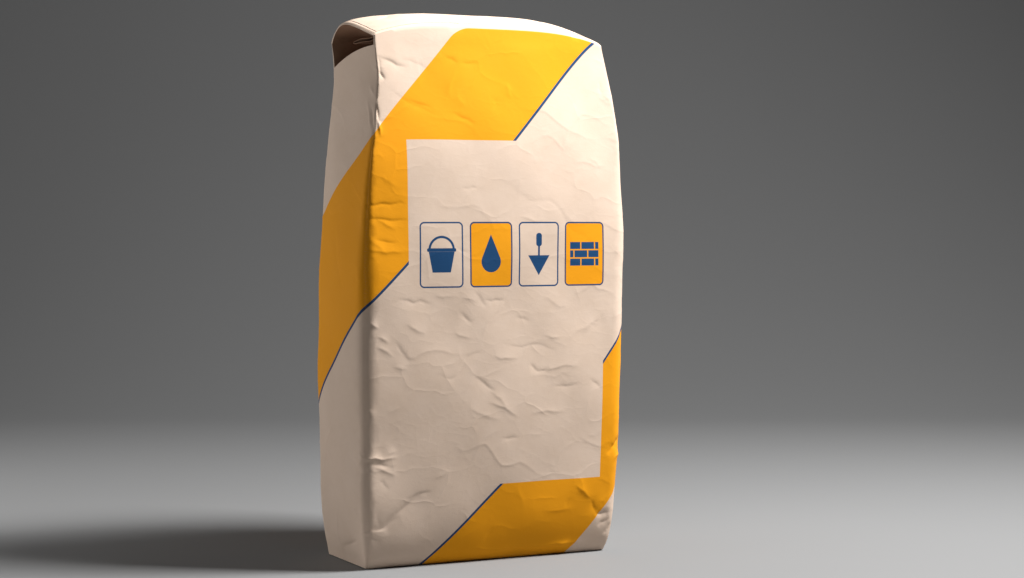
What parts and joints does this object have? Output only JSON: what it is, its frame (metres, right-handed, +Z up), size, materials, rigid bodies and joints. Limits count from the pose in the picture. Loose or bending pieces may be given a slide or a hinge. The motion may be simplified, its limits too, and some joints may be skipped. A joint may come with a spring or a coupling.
{
  "type": "cement bag",
  "caption": "Filled paper valve sack of dry cement and sand mix, standing upright, swollen in the middle with square folded ends and an open filling pocket in a top corner.",
  "frame": {"origin": "centre of the base, on the floor the sack stands on", "axes": "+Z up along the sack's height, +X along its width away from the filling valve, +Y along its depth away from the printed front"},
  "size_m": [0.2805, 0.1444, 0.5151],
  "materials": {
    "sack_paper": "matte",
    "patch_paper": "matte",
    "kraft_paper": "matte",
    "dry_mix": "matte"
  },
  "bodies": {
    "root": {"paper_sack": "sack_paper", "dry_mix": "dry_mix", "valve_sleeve": "kraft_paper", "top_cover_patch": "patch_paper", "bottom_cover_patch": "patch_paper"}
  },
  "joints": []
}
